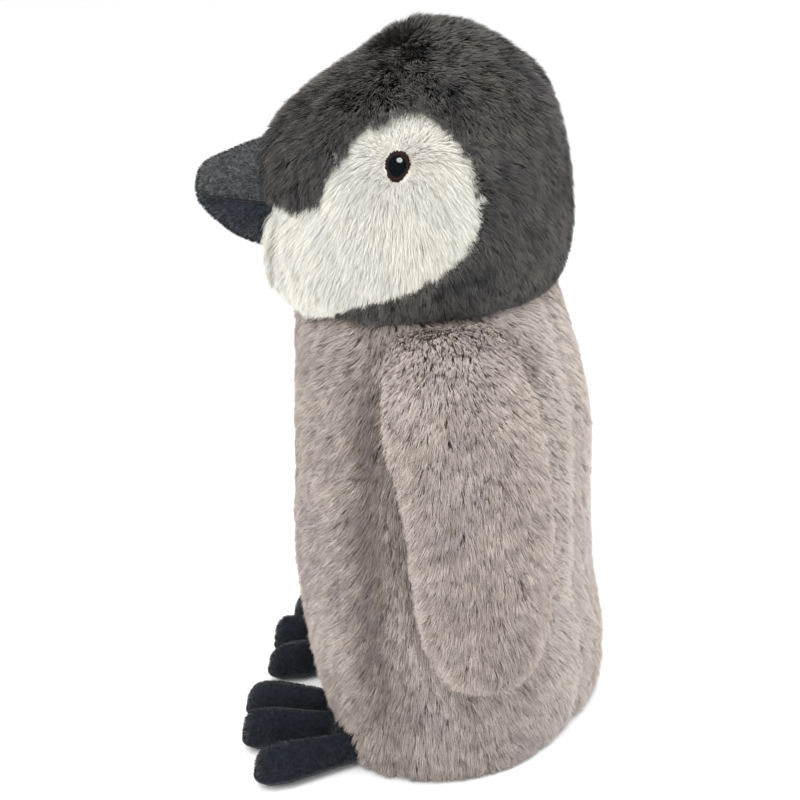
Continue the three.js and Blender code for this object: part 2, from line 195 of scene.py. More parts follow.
def add_studio():
    """A white room: even light from all round, four soft lamps and a paper floor."""
    world = bpy.data.worlds.new("studio")
    world.use_nodes = True
    set_inputs(world.node_tree.nodes["Background"], {"Color": (1, 1, 1, 1), "Strength": 1.04})
    bpy.context.scene.world = world
    bpy.context.scene.view_settings.view_transform = "Standard"
    add_area_light("key", (0.75, -0.35, 1.05), 0.7, 9)
    add_area_light("top", (0.1, 0.35, 1.2), 0.8, 7)
    add_area_light("fill", (0.6, -1.0, 0.35), 0.8, 3)
    add_area_light("back", (0.1, 1.05, 0.65), 0.7, 6)
    corners = [(x * FLOOR_REACH, y * FLOOR_REACH, 0) for x, y in ((-1, -1), (1, -1), (1, 1), (-1, 1))]
    floor = add_object("floor", mesh_of("floor", corners, [(0, 1, 2, 3)]))
    floor.data.materials.append(plain_material("floor_paper", (0.95, 0.95, 0.95), 0.9))


# ---------------------------------------------------------------- materials
def linear(rgb):
    """sRGB 0 to 255 as the linear colour that Blender wants."""
    values = [c / 255 for c in rgb]
    return tuple(v / 12.92 if v <= 0.04045 else ((v + 0.055) / 1.055) ** 2.4 for v in values)


def plain_material(name, colour, roughness, specular=0.2):
    material = bpy.data.materials.new(name)
    material.use_nodes = True
    looks = {"Base Color": (*colour, 1), "Roughness": roughness, "Specular IOR Level": specular}
    set_inputs(material.node_tree.nodes["Principled BSDF"], looks)
    return material


def pile_material(name, rgb):
    """One shade of the fibres of a pile fabric, with a paler sheen."""
    material = plain_material(name, linear(rgb), 0.75)
    tint = linear([min(255, c + 60) for c in rgb])
    looks = {"Sheen Weight": 0.25, "Sheen Roughness": 0.4, "Sheen Tint": (*tint, 1)}
    set_inputs(material.node_tree.nodes["Principled BSDF"], looks)
    return material


def cloth_material(name, dark, light, grain, bump=0.3, sheen=0.3, roughness=0.95, specular=0.2):
    """A fabric backing: blotches at the scale of grain, in millimetres, over a fine weave."""
    material = plain_material(name, linear(light), roughness, specular)
    tree = material.node_tree
    shader = tree.nodes["Principled BSDF"]
    place = tree.nodes.new("ShaderNodeTexCoord")
    blotch = tree.nodes.new("ShaderNodeTexNoise")
    ramp = tree.nodes.new("ShaderNodeValToRGB")
    for element, position, rgb in zip(ramp.color_ramp.elements, (0.34, 0.66), (dark, light)):
        element.position = position
        element.color = (*linear(rgb), 1)
    fine = tree.nodes.new("ShaderNodeTexNoise")
    relief = tree.nodes.new("ShaderNodeBump")
    set_inputs(shader, {"Sheen Weight": sheen})
    set_inputs(blotch, {"Scale": 1000 / grain, "Detail": 5})
    set_inputs(fine, {"Scale": 2200, "Detail": 2})
    set_inputs(relief, {"Strength": bump, "Distance": 0.0004})
    link = tree.links.new
    link(place.outputs["Object"], blotch.inputs["Vector"])
    link(place.outputs["Object"], fine.inputs["Vector"])
    link(blotch.outputs["Fac"], ramp.inputs["Fac"])
    link(ramp.outputs["Color"], shader.inputs["Base Color"])
    link(fine.outputs["Fac"], relief.inputs["Height"])
    link(relief.outputs["Normal"], shader.inputs["Normal"])
    return material


SHADE_COUNT = 5
# The shades of each pile fabric's fibres, dark to light, and how patches of the fabric differ from them.
SHADES = {
    "body": [(112, 103, 96), (130, 120, 112), (148, 138, 129), (166, 155, 146), (186, 176, 167)],
    "wing": [(116, 106, 98), (135, 124, 116), (153, 142, 133), (170, 158, 149), (188, 177, 168)],
    "hood": [(31, 31, 33), (43, 42, 44), (55, 54, 55), (68, 67, 67), (83, 81, 79)],
    "face": [(195, 192, 181), (204, 201, 190), (211, 208, 197), (218, 215, 204), (225, 223, 213)],
}
CAST = {"body": (-10, -10, -4), "wing": (-10, -10, -4), "hood": (9, 6, 3), "face": (-12, -10, -6)}


# ---------------------------------------------------------------- surfaces
def smooth_rows(rows):
    """A smooth curve through rows of numbers, read at 0 to 1."""
    table = np.array(rows, float)
    ends = np.vstack([2 * table[0] - table[1], table, 2 * table[-1] - table[-2]])

    def read(t):
        x = np.clip(np.asarray(t, float), 0, 1) * (len(table) - 1)
        i = np.minimum(x.astype(int), len(table) - 2)
        f = (x - i)[..., None]
        a, b, c, d = (ends[i + k] for k in range(4))
        bend = 2 * a - 5 * b + 4 * c - d
        return 0.5 * (2 * b + (c - a) * f + bend * f**2 + (3 * b - a - 3 * c + d) * f**3)

    return read


torso_at, head_at, wing_at, beak_at = (smooth_rows(rows) for rows in (TORSO, HEAD, WING, BEAK))


def even_steps(read, height, half, count):
    """Places from 0 to 1 that step evenly along the profile drawn by two of a table's columns."""
    t = np.linspace(0, 1, 2000)
    rows = read(t)
    length = np.concatenate([[0], np.cumsum(np.hypot(np.diff(rows[:, height]), np.diff(rows[:, half])))])
    return np.interp(np.linspace(0, length[-1], count), length, t)


def waves(points, lengths, seed):
    """Smooth noise from -1 to 1 over points in metres, from waves of the given lengths in millimetres."""
    rng = np.random.default_rng(seed)
    total = np.zeros(len(points))
    for length in lengths:
        for _ in range(3):
            way = rng.normal(size=3)
            way /= np.linalg.norm(way)
            total += np.sin(points @ way * (2 * math.pi / (length * MM)) + rng.uniform(0, 2 * math.pi))
    return total / (3 * len(lengths)) * 1.6


def ramp(x, xs, ys):
    return np.interp(x, xs, ys)


def bell(x, width):
    return np.exp(-((x / width) ** 2))


def height(points):
    return points[..., 2] / MM


def side_view(points):
    """y and z of points, in millimetres."""
    return points[..., 1] / MM, height(points)


def unit(v):
    return v / np.maximum(np.linalg.norm(v, axis=-1, keepdims=True), 1e-12)


def full_turn(count):
    return np.linspace(0, 2 * math.pi, count, endpoint=False)


def egg_section(rows, bearing, grow, power=2.0):
    """A ring of an egg-shaped body: halves of two ellipses, squarer where the power is above 2."""
    z, half, front, back, centre = np.moveaxis(rows, -1, 0)
    ahead, aside = np.cos(bearing), np.sin(bearing)
    size = (np.abs(ahead) ** power + np.abs(aside) ** power) ** (1 / power)
    depth = np.where(ahead > 0, front, back)
    return np.stack([(half + grow) * aside / size, centre - (depth + grow) * ahead / size, z], -1)


def torso_surface(bearing, t):
    """The stuffed torso: drawn in along its seams, crowned between them, a little uneven."""
    around = np.degrees(bearing) % 360
    nearest = np.min([np.abs((around - s + 180) % 360 - 180) for s in BODY_SEAMS], axis=0)
    valley = bell(nearest, 4.0) * np.clip(t * 6, 0, 1)
    grow = -0.4 - 2.2 * valley
    rows = torso_at(t)
    square = ramp(rows[..., 0], [10, 40, 90], [2.9, 2.35, 2.0])
    narrow = ramp(rows[..., 0], [10, 40, 90], [1.6, 1.8, 2.0])
    points = egg_section(rows, bearing, grow, np.where(np.cos(bearing) > 0, square, narrow)) * MM
    flat = points.reshape(-1, 3)
    uneven = waves(flat, (46, 31), 5).reshape(bearing.shape) * 0.9 * np.clip(t * 5, 0, 1) * MM
    points[..., :2] += unit(points[..., :2]) * uneven[..., None]
    return points


def base_surface(bearing, share):
    """The oval that the toy stands on: a panel with a rounded edge, pressed flat by the pellets."""
    points = torso_surface(bearing, 0 * bearing) * share[..., None]
    points[..., 2] = np.interp(share, *zip(*BASE)) * MM
    return points


FACE_OUTLINE = np.array(smooth_rows(FACE_EDGE)(np.linspace(0, 1, 90)))


def in_face(points):
    """True where points, in metres, lie on the white face patches, seen from the side."""
    y, z = side_view(points)
    outline = np.vstack([[(-90, 170), (-90, FACE_FRONT)], FACE_OUTLINE, [(-36, 170)]])
    inside = np.zeros(y.shape, bool)
    for (y0, z0), (y1, z1) in zip(outline, np.roll(outline, -1, axis=0)):
        crossing = (z0 > z) != (z1 > z)
        run = (y1 - y0) * (z - z0) / (z1 - z0 if z1 != z0 else 1) + y0
        inside ^= crossing & (y < run)
    return inside


def from_face_edge(points):
    """The way from the nearest place on the face patch's edge, seen from the side, in millimetres."""
    here = points[..., 1:].reshape(-1, 1, 2) / MM
    way = np.empty((len(here), 2))
    for start in range(0, len(here), 20000):
        step = here[start : start + 20000] - FACE_OUTLINE[None]
        nearest = (step**2).sum(-1).argmin(1)
        way[start : start + 20000] = step[np.arange(len(step)), nearest]
    return way.reshape(*points.shape[:-1], 2)


def face_distance(points):
    return np.linalg.norm(from_face_edge(points), axis=-1)


def head_surface(bearing, t):
    """The stuffed head: drawn in a little round the face patch and along the gusset's two seams."""
    points = egg_section(head_at(t), bearing, 0) * MM
    edge = face_distance(points)
    gusset = np.abs(np.abs(points[..., 0]) / MM - GUSSET_HALF) + 40 * in_face(points)
    strip = ramp(height(points), [250, 265], [1.0, 0.2])
    inward = 1.3 * bell(edge, 3) + strip * bell(gusset, 3)
    centre = np.array([0, 4 * MM, 235 * MM])
    return points - unit(points - centre) * inward[..., None] * MM


def torso_side(y, z):
    """Half width of the torso, in millimetres, where it is cut at y and z."""
    heights = np.array([row[0] for row in TORSO])
    half, front, back = (np.interp(z, heights, [row[k] for row in TORSO]) for k in (1, 2, 3))
    depth = np.where(y < 0, front, back)
    return half * np.sqrt(np.maximum(1 - (y / depth) ** 2, 0))


def wing_surface(angle, t):
    """The left wing: a plump flipper that follows part of the torso's curve."""
    z, centre, half, thick = np.moveaxis(wing_at(t), -1, 0)
    y = centre + half * np.cos(angle)
    straight = torso_side(centre, z)
    middle = straight + WING_WRAP * (torso_side(y, z) - straight)
    round_edge = np.sin(angle)
    x = middle + WING_OFF + thick / 2 * (1 + round_edge)
    return np.stack([x, y, z], -1) * MM


def beak_surface(angle, t):
    """The beak: angle 0 to 180 over the top from one corner of the mouth to the other, then back below."""
    ahead, top, mouth, bottom, half = np.moveaxis(beak_at(t), -1, 0)
    lift = np.sin(angle)
    tall = np.where(lift > 0, top - mouth, mouth - bottom)
    pinch = 1 - 0.10 * bell(lift, 0.14)
    pucker = 0.35 * np.sin(ahead * 2 * math.pi / 3.4) * bell(lift, 0.3)
    return np.stack([(half * pinch + pucker) * np.cos(angle), -ahead, mouth + tall * lift], -1) * MM


# ---------------------------------------------------------------- mesh building
def new_piece(name, mesh, materials):
    for material in materials:
        mesh.materials.append(material)
    return add_object(name, mesh)


def grid_quads(columns, rows, closed=False):
    """The quads of a grid of points, column by column, which may close round its columns."""
    i, j = np.meshgrid(np.arange(columns if closed else columns - 1), np.arange(rows - 1), indexing="ij")
    here, there = i * rows + j, (i + 1) % columns * rows + j
    return np.stack([here, there, there + 1, here + 1], -1).reshape(-1, 4)


def skin_mesh(name, points, quads, materials, thick, level=0):
    """A panel of fabric: a sheet of quads with its thickness on the inside."""
    used, index = np.unique(quads, return_inverse=True)
    mesh = mesh_of(name, points[used].tolist(), index.reshape(quads.shape).tolist())
    clean = bmesh.new()
    clean.from_mesh(mesh)
    bmesh.ops.remove_doubles(clean, verts=clean.verts, dist=0.00001)
    bmesh.ops.dissolve_degenerate(clean, edges=clean.edges, dist=0.00001)
    clean.to_mesh(mesh)
    clean.free()
    mesh.polygons.foreach_set("use_smooth", [True] * len(mesh.polygons))
    piece = new_piece(name, mesh, materials)
    if level:
        piece.modifiers.new("fine", "SUBSURF").levels = level
    solid = piece.modifiers.new("backing", "SOLIDIFY")
    solid.thickness = thick
    solid.offset = -1
    return piece


class Skin:
    """A surface that strands grow on: its triangles, with smooth normals at the corners."""

    def __init__(self, points, quads):
        self.points = points
        self.triangles = np.vstack([quads[:, [0, 1, 2]], quads[:, [0, 2, 3]]])
        corners = points[self.triangles]
        cross = np.cross(corners[:, 1] - corners[:, 0], corners[:, 2] - corners[:, 0])
        self.area = np.linalg.norm(cross, axis=1) / 2
        normals = np.zeros_like(points)
        for k in range(3):
            np.add.at(normals, self.triangles[:, k], cross)
        self.normals = unit(normals)

    def scatter(self, per_mm2, rng):
        """Random roots and normals, spread evenly over the area."""
        count = int(self.area.sum() / MM**2 * per_mm2)
        edges = np.cumsum(self.area)
        pick = np.searchsorted(edges, rng.uniform(0, edges[-1], count))
        pick = np.minimum(pick, len(self.area) - 1)
        a, b = rng.uniform(size=(2, count, 1))
        over = a + b > 1
        a, b = np.where(over, 1 - a, a), np.where(over, 1 - b, b)
        weights = (1 - a - b, a, b)
        corners = self.triangles[pick]
        root = sum(w * self.points[corners[:, k]] for k, w in enumerate(weights))
        normal = unit(sum(w * self.normals[corners[:, k]] for k, w in enumerate(weights)))
        return root, normal


# ---------------------------------------------------------------- pile
def nearest_guides(root, share, rng):
    """For each root, the index of the root that leads its tuft."""
    leaders = rng.choice(len(root), max(int(len(root) * share), 1), replace=False)
    tree = kdtree.KDTree(len(leaders))
    for leader in leaders:
        tree.insert(root[leader], int(leader))
    tree.balance()
    return np.fromiter((tree.find(p)[1] for p in root), int, len(root))


def turned(vectors, axes, angles):
    """Vectors turned about axes at right angles to them."""
    c, s = np.cos(angles)[:, None], np.sin(angles)[:, None]
    return vectors * c + np.cross(axes, vectors) * s


def grow_pile(root, normal, flow, style, rng):
    """Strand centre lines as an array of strands by stations by 3, with each strand's shade from 0 to 1."""
    count = len(root)
    along = flow - normal * (flow * normal).sum(1, keepdims=True)
    strong = np.clip(np.linalg.norm(along, axis=1), 0.25, 1)
    along = unit(along)
    swirl = waves(root, (34, 15), style["seed"]) * style["swirl"] + rng.normal(0, style["stray"], count)
    along = turned(along, normal, swirl)
    uneven = 1 + style["uneven"] * waves(root, (9, 5), style["seed"] + 1)
    length = style["scale"] * style["length"] * MM * uneven * rng.uniform(0.82, 1.12, count)
    lean = np.clip(style["lean"] * strong + rng.normal(0, 0.07, count), 0.1, 0.97)
    stations = np.array(style["stations"])
    rise = 1 - (1 - stations) ** 1.7
    run = stations**1.35
    up = (np.sqrt(1 - lean**2) * length)[:, None, None] * rise[None, :, None]
    out = (lean * length)[:, None, None] * run[None, :, None]
    lines = root[:, None] + normal[:, None] * up + along[:, None] * out
    guide = nearest_guides(root, style["tufts"], rng)
    lock = nearest_guides(root, style["locks"], rng)
    pull = (stations**1.2)[None, :, None]
    lines += (lines[lock] - lines) * pull * style["lock"] + (lines[guide] - lines) * pull * style["clump"]
    lines += rng.normal(0, 1, lines.shape) * (style["frizz"] * MM * stations**1.5)[None, :, None]
    shade = 0.5 + 0.17 * rng.normal(size=count) + 0.13 * rng.normal(size=count)[guide]
    # The blotches are patchy dye; the last term paints light and shade onto the strands.
    shade += style["blotch"] * waves(root, (22, 8), style["seed"] + 2) + style["painted_light"](root)
    return lines, shade


def strand_mesh(name, lines, normal, shade, style, materials, rng, body):
    """Each strand is a tapered ribbon. Its shade picks the material, with painted shade at the root and
    painted light at the tip.
    """
    count, stations, _ = lines.shape
    lines[..., 2] = np.maximum(lines[..., 2], 0.5 * MM)
    ahead = unit(np.gradient(lines, axis=1))
    across = unit(np.cross(ahead, normal[:, None]))
    roll = rng.normal(0, 0.5, count)
    roll = np.repeat(roll, stations)
    across = turned(across.reshape(-1, 3), ahead.reshape(-1, 3), roll).reshape(lines.shape)
    share = np.array(style["stations"])
    taper = 1 - 0.75 * share**2
    half = style["width"] / 2 * MM * taper[None, :, None] * rng.uniform(0.75, 1.25, (count, 1, 1))
    left, right = lines - across * half, lines + across * half
    wide = stations - 1
    pairs = np.stack([left[:, :wide], right[:, :wide]], 2).reshape(count, -1, 3)
    points = np.concatenate([pairs, lines[:, -1:]], 1)
    per = 2 * wide + 1
    first = (np.arange(count) * per)[:, None]
    quads = [np.concatenate([first + 2 * k + corner for corner in (0, 1, 3, 2)], 1) for k in range(wide - 1)]
    tip = np.concatenate([first + 2 * wide - 2, first + 2 * wide - 1, first + 2 * wide], 1)
    faces = np.concatenate([*quads, tip], 1).ravel()
    sizes = np.tile([4] * (wide - 1) + [3], count)
    starts = np.concatenate([[0], np.cumsum(sizes)[:-1]])
    mesh = bpy.data.meshes.new(name)
    mesh.vertices.add(count * per)
    mesh.vertices.foreach_set("co", points.reshape(-1).astype(np.float32))
    mesh.loops.add(len(faces))
    mesh.loops.foreach_set("vertex_index", faces.astype(np.int32))
    mesh.polygons.add(len(sizes))
    mesh.polygons.foreach_set("loop_start", starts.astype(np.int32))
    mesh.polygons.foreach_set("use_smooth", np.ones(len(sizes), bool))
    # Painted shade at the root, where the strands shade each other, and painted light at the tip.
    root_shade_tip_light = np.linspace(-1.3, 1.0, wide)[None, :]
    levels = min(len(materials), SHADE_COUNT)
    level = np.clip(np.round(shade[:, None] * (levels - 1) + root_shade_tip_light + 0.15), 0, levels - 1)
    if len(materials) > levels:
        patch = waves(lines[:, 0], (38, 17), style["seed"] + 3) * 0.6 + rng.normal(0, 0.35, count)
        level += levels * (patch > 0.15)[:, None]
    mesh.polygons.foreach_set("material_index", level.astype(np.int32).ravel())
    mesh.update(calc_edges=True)
    piece = new_piece(name, mesh, materials)
    face_up = unit(np.cross(across, ahead))
    face_up *= np.sign((face_up * normal[:, None]).sum(-1, keepdims=True) + 1e-9)
    blend = style["soften"] * normal[:, None] + (1 - style["soften"]) * face_up
    soft = unit(blend + 0.12 * rng.normal(size=lines.shape))
    vertex = np.concatenate([np.repeat(soft[:, :wide], 2, axis=1), soft[:, -1:]], 1).reshape(-1, 3)
    mesh.normals_split_custom_set_from_vertices(vertex.tolist())
    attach(piece, body)
    return piece


# ---------------------------------------------------------------- whole skins, not yet cut into panels
class Shell:
    """A skin as a grid of points, closed round its columns and held along its first and last rows."""

    def __init__(self, surface, around, rows):
        self.points = surface(*np.meshgrid(around, rows, indexing="ij")).reshape(-1, 3)
        self.held = np.zeros((len(around), len(rows)), bool)
        self.held[:, [0, -1]] = True
        self.quads = grid_quads(*self.held.shape, closed=True)

    def swollen(self, pressure, cap, stiffness=12):
        self.points = swell(self.points, self.quads, self.held.ravel(), pressure, cap, stiffness)
        return self

    def middles(self):
        return self.points[self.quads].mean(1)

    def columns(self):
        """The column of the grid that each quad is in."""
        return np.arange(len(self.quads)) // (self.held.shape[1] - 1)

    def angles(self):
        """The angle round the grid, in degrees, of each quad's middle."""
        return (self.columns() + 0.5) * 360 / len(self.held)


def swell(points, faces, held, pressure, cap, stiffness=12):
    """New points of a skin that swells over its filling, held along its seams, cap millimetres at most."""
    skin = add_object("swelling", mesh_of("swelling", points.tolist(), faces.tolist()))
    group = skin.vertex_groups.new(name="held")
    group.add(np.flatnonzero(held).tolist(), 1.0, "REPLACE")
    cloth = skin.modifiers.new("filling", "CLOTH")
    settings = dict(quality=6, mass=0.2, use_pressure=True, uniform_pressure_force=pressure)
    settings.update(tension_stiffness=stiffness, compression_stiffness=stiffness)
    settings.update(shear_stiffness=stiffness / 2, bending_stiffness=0.3, vertex_group_mass="held")
    for word, value in settings.items():
        setattr(cloth.settings, word, value)
    cloth.settings.effector_weights.gravity = 0
    cloth.collision_settings.use_collision = False
    cloth.point_cache.frame_start = 1
    cloth.point_cache.frame_end = SWELL_FRAMES
    for number in range(1, SWELL_FRAMES + 1):
        bpy.context.scene.frame_set(number)
    shown = skin.evaluated_get(bpy.context.evaluated_depsgraph_get())
    moved = np.zeros(len(points) * 3, np.float32)
    shown.data.vertices.foreach_get("co", moved)
    bpy.data.objects.remove(skin)
    bpy.context.scene.frame_set(1)
    step = moved.reshape(-1, 3) - points
    far = np.linalg.norm(step, axis=1, keepdims=True)
    return points + step * np.minimum(1, cap * MM / np.maximum(far, 1e-9))


TORSO_COLUMNS = tuple(sum(SEAM_STEPS[:k]) for k in range(4))  # the column where each panel starts


def torso_shell():
    spans = zip((BODY_SEAMS[-1] - 360, *BODY_SEAMS), BODY_SEAMS, SEAM_STEPS)
    bearings = np.radians(np.concatenate([np.linspace(a, b, n, endpoint=False) for a, b, n in spans]))
    shell = Shell(torso_surface, bearings, even_steps(torso_at, 0, 1, 62))
    shell.held[TORSO_COLUMNS, :] = True
    return shell.swollen(2.5, 2.0)


def head_shell():
    shell = Shell(head_surface, full_turn(132), even_steps(head_at, 0, 1, 72))
    points = shell.points
    along_gusset = np.abs(np.abs(points[:, 0]) / MM - GUSSET_HALF) < 1.3
    seams = (face_distance(points) < 1.6) | along_gusset & ~in_face(points)
    shell.held |= seams.reshape(shell.held.shape)
    return shell.swollen(2.5, 2.0)


def two_panel_shell(surface, columns, rows):
    """A shell of two panels, joined along its first column and the one opposite."""
    shell = Shell(surface, full_turn(columns), rows)
    shell.held[[0, columns // 2], :] = True
    return shell


def mirrored(points):
    return points * np.array([-1, 1, 1])


def make_skin(name, shell, keep, material, thick, body, nodes, mirror=False):
    """One sewn panel of backing fabric, cut from a shell. Gives the surface that its pile grows on."""
    quads = shell.quads[keep]
    points = shell.points
    if mirror:
        points, quads = mirrored(points), quads[:, ::-1]
    declare_panel(skin_mesh(name, points, quads, [material], thick * MM), body, nodes)
    return Skin(points, quads)


def declare_panel(piece, body, nodes):
    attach(piece, body)
    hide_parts(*nodes)


def cover_with_pile(name, skin, per_mm2, style, flow, scale, materials, body):
    """Strands over a panel, in pieces of at most so many triangles. None grow where the scale is nothing."""
    rng = np.random.default_rng(style["seed"])
    root, normal = skin.scatter(per_mm2 * DENSITY, rng)
    length = scale(root)
    kept = length > 0.12
    root, normal, length = root[kept], normal[kept], length[kept]
    lines, shade = grow_pile(root, normal, flow(root), {**style, "scale": length}, rng)
    parts = math.ceil(len(root) * (2 * len(style["stations"]) - 3) / MOST_TRIANGLES)
    for number, part in enumerate(np.array_split(np.argsort(root[:, 2], kind="stable"), parts)):
        piece = name if parts == 1 else f"{name}_{number + 1}"
        strand_mesh(piece, lines[part], normal[part], shade[part], style, materials, rng, body)


# ---------------------------------------------------------------- which way the pile lies, and how long it is
DOWN = np.array([0, 0, -1.0])
SHORT = (0, 0.5, 1)
LONG = (0, 0.35, 0.7, 1)
# Length and width are in millimetres, lean goes from 0 upright to 1 flat, and swirl and stray are radians off
# the flow. Tufts and locks are the shares of strands that lead one. Clump and lock say how far the rest join.
PILE = {
    "body": dict(length=8.4, lean=0.72, width=0.27, stations=SHORT, swirl=0.26, stray=0.18, blotch=0.14),
    "wing": dict(length=8.4, lean=0.74, width=0.27, stations=SHORT, swirl=0.24, stray=0.18, blotch=0.14),
    "hood": dict(length=8.2, lean=0.64, width=0.28, stations=SHORT, swirl=0.5, stray=0.32, blotch=0.26),
    "face": dict(length=11.0, lean=0.85, width=0.2, stations=LONG, swirl=0.14, stray=0.13, blotch=0.08),
}
for fabric, soften in (("body", 0.82), ("wing", 0.82), ("hood", 0.78), ("face", 0.94)):
    PILE[fabric]["soften"] = soften
PILE["face"].update(clump=0.2, lock=0.08)
VELOUR_PILE = dict(lean=0.6, width=0.2, stations=(0, 1), swirl=0.6, stray=0.35, blotch=0.3, soften=0.75)
VELOUR_PILE.update(tufts=0.08, clump=0.35, locks=0.01, lock=0.1, frizz=0.08, uneven=0.25)
PLUSH = dict(tufts=0.05, clump=0.30, locks=0.005, lock=0.14, frizz=0.18, uneven=0.10)


def body_flow(root):
    """Down, swept forward over the chest and back over the flanks, straight along the seams."""
    bearing = np.arctan2(root[:, 0], -root[:, 1])
    side = np.sign(root[:, 0])
    backwards = np.stack([np.cos(bearing), np.sin(bearing), 0 * bearing], -1) * side[:, None]
    bearings = [0, 12, 36, 58, 70, 95, 125, 150, 180]
    sweep = ramp(np.abs(np.degrees(bearing)), bearings, [0, -0.4, -0.95, -0.75, -0.1, 0.3, 0.7, 0.5, 0])
    sweep *= ramp(height(root), [10, 60], [0.4, 1])
    return DOWN + backwards * sweep[:, None]


def body_scale(root):
    z = height(root)
    scale = ramp(z, [0.4, 4, 12, 186, 194, 198], [0.8, 0.95, 1, 1, 0.6, 0.2])
    beside = ramp(wing_edge(root), [0.9, 1.3], [0.42, 1.0])
    return np.where((z > 50) & (z < 186), scale * beside, scale)


def wing_flow(root):
    """Down, fanning towards both edges, and outwards over the shoulder."""
    edge = np.clip(wing_across(root), -1, 1)
    top = ramp(height(root), [177, 186], [0, 1.4])
    flow = DOWN + np.stack([np.sign(root[:, 0]) * top, edge * np.abs(edge) * 0.8, 0 * edge], -1)
    return flow * ramp(height(root), [60, 170], [1, 0.86])[:, None]


def wing_across(root):
    """Places over a wing from 0 on its middle line to -1 at its front edge and 1 at its back edge."""
    y, z = side_view(root)
    heights, centres, halves = (np.array([row[k] for row in WING[::-1]]) for k in (0, 1, 2))
    return (y - np.interp(z, heights, centres)) / np.maximum(np.interp(z, heights, halves), 8)


def wing_edge(root):
    """Places over a wing from 0 on its middle line to 1 at either edge."""
    return np.abs(wing_across(root))


def wing_scale(root):
    along = ramp(height(root), [50, 120, 165, 180, 188], [1, 1, 0.85, 0.68, 0.55])
    return along * ramp(wing_edge(root), [0.75, 1.0], [1, 0.72])


def inner_wing_scale(root):
    return ramp(wing_edge(root), [0.5, 0.95], [0.32, 0.6])


def body_painted_light(root):
    """Painted shade beside the wings, in the creases behind them, in the valleys of the front seams and low
    down on the flanks and back, and painted light on the back, as if lit from behind.
    """
    y, z = side_view(root)
    bearing = np.degrees(np.arctan2(np.abs(root[:, 0]), -root[:, 1]))
    # Painted shade in the valleys along the front seams.
    seam = -0.56 * bell(bearing - 66, 8) * ramp(z, [20, 50, 150, 180], [0.4, 1, 1, 0.3])
    # Painted shadow of each wing on the torso beside its front edge.
    wing = -0.34 * ramp(wing_edge(root), [0.95, 1.15, 1.5], [1, 1, 0]) * (y < 12)
    wing = wing * ramp(z, [40, 55, 120, 175], [0, 1, 0.8, 0])
    # Painted shade in the crease behind the top of each wing.
    pit_shade = -0.5 * np.exp(-(((y - 36) / 5) ** 2) - ((z - 168) / 10) ** 2)
    # Painted shade low down, mostly on the flanks and back.
    low = ramp(z, [15, 60], [-0.10, 0]) * ramp(bearing, [66, 80], [0.2, 1])
    # Painted light on the back.
    return seam + wing + pit_shade + low + ramp(bearing, [60, 110, 135], [-0.05, 0.02, 0.32])


def wing_painted_light(root):
    # Painted light along both edges and towards the top, and painted shade low down.
    edge = ramp(wing_edge(root), [0.6, 1.0], [0, 0.12])
    return edge + ramp(height(root), [55, 100, 150, 178], [-0.24, -0.10, -0.05, 0.04])


def hood_painted_light(root):
    """Paler over the crown and the back, where the pile catches the light."""
    y, z = side_view(root)
    crown = ramp(np.linalg.norm(root - WHORL, axis=1) / MM, [6, 26, 46], [0.75, 0.45, 0])
    back = ramp(y, [25, 56], [0, 0.12])
    return crown + ramp(z, [225, 262], [-0.06, 0]) + back + ramp(y, [-50, -25], [0.02, 0])


def face_painted_shade(root):
    # Painted shade in the hollow round the eye.
    return ramp(from_eye(root), [5, 12, 20], [-0.25, -0.12, 0])


WHORL = np.array([0, -4, 292]) * MM


def hood_flow(root):
    """Away from the top of the crown: forward over the brow, and down over the sides and the nape."""
    y, z = side_view(root)
    low = ramp(z, [225, 285], [1.0, 0])[:, None]
    away = root - WHORL
    far = np.linalg.norm(away, axis=1) / MM
    away[:, 0] *= 1 - 0.65 * bell(far, 28) * ramp(y, [-14, -5], [1, 0])
    near = np.clip(np.linalg.norm(away, axis=1, keepdims=True) / (14 * MM), 0.7, 1)
    back = np.array([0, 0.35, 0]) * low * ramp(y, [-40, 0], [-1, 1])[:, None]
    flow = unit(away) * near * (1 - 0.5 * low) + DOWN * low * 0.9 + back
    way = from_face_edge(root)
    close = 1.3 * np.exp(-np.linalg.norm(way, axis=1) / 6)
    close = close * ramp(y, [-20, 8], [0, 1]) * ramp(z, [246, 262], [1, 0])
    flow[:, 1:] += unit(way) * close[:, None]
    return flow


def in_beak(root, margin):
    """True where the beak covers the head, less a margin in millimetres."""
    x, y, z = root.T / MM
    return (y < -40) & (np.hypot(x / (16.5 - margin), (z - 231.5) / (19 - margin)) < 1)


def hood_scale(root):
    y, z = side_view(root)
    scale = ramp(z, [190, 193, 196, 204, 214, 275, 290], [0, 0.4, 0.65, 0.9, 1, 1, 0.85])
    scale = scale * ramp(y, [-50, -34], [1.06, 1.0])
    return np.where(in_beak(root, 1), 0, scale)


def from_eye(root):
    """Millimetres from the middle of the eye, seen from the side."""
    return np.hypot(root[:, 1] / MM - EYE["y"], (height(root) - EYE["z"]) / 1.2)


def face_flow(root):
    """Out from the eye above it, and straight down below it, fanning forward at the chin."""
    y, z = side_view(root)
    eye = np.stack([root[:, 0], 0 * y + EYE["y"] * MM, 0 * z + EYE["z"] * MM], -1)
    away = unit(root - eye)
    low = ramp(z, [244, 262], [1.0, 0.0])[:, None]
    fan = np.stack([0 * y, ramp(y, [-54, -46, -30, -8, 20], [-2.0, -1.0, -0.55, -0.05, 0.4]), 0 * y], -1)
    return away * (1 - 0.55 * low) + (DOWN + fan) * low


def face_scale(root):
    z = height(root)
    eye = ramp(from_eye(root), [4.2, 5.2, 8, 14, 22], [0, 0.22, 0.4, 0.62, 1])
    scale = eye * ramp(z, [192, 195.5, 206, 225, 250, 265], [0, 0.7, 0.95, 1.0, 0.85, 0.75])
    scale *= ramp(face_distance(root), [0, 9], [0.62, 1]) + 0.3 * in_beak(root, -9) * (z < 232)
    return np.where(in_beak(root, 1), 0, scale)


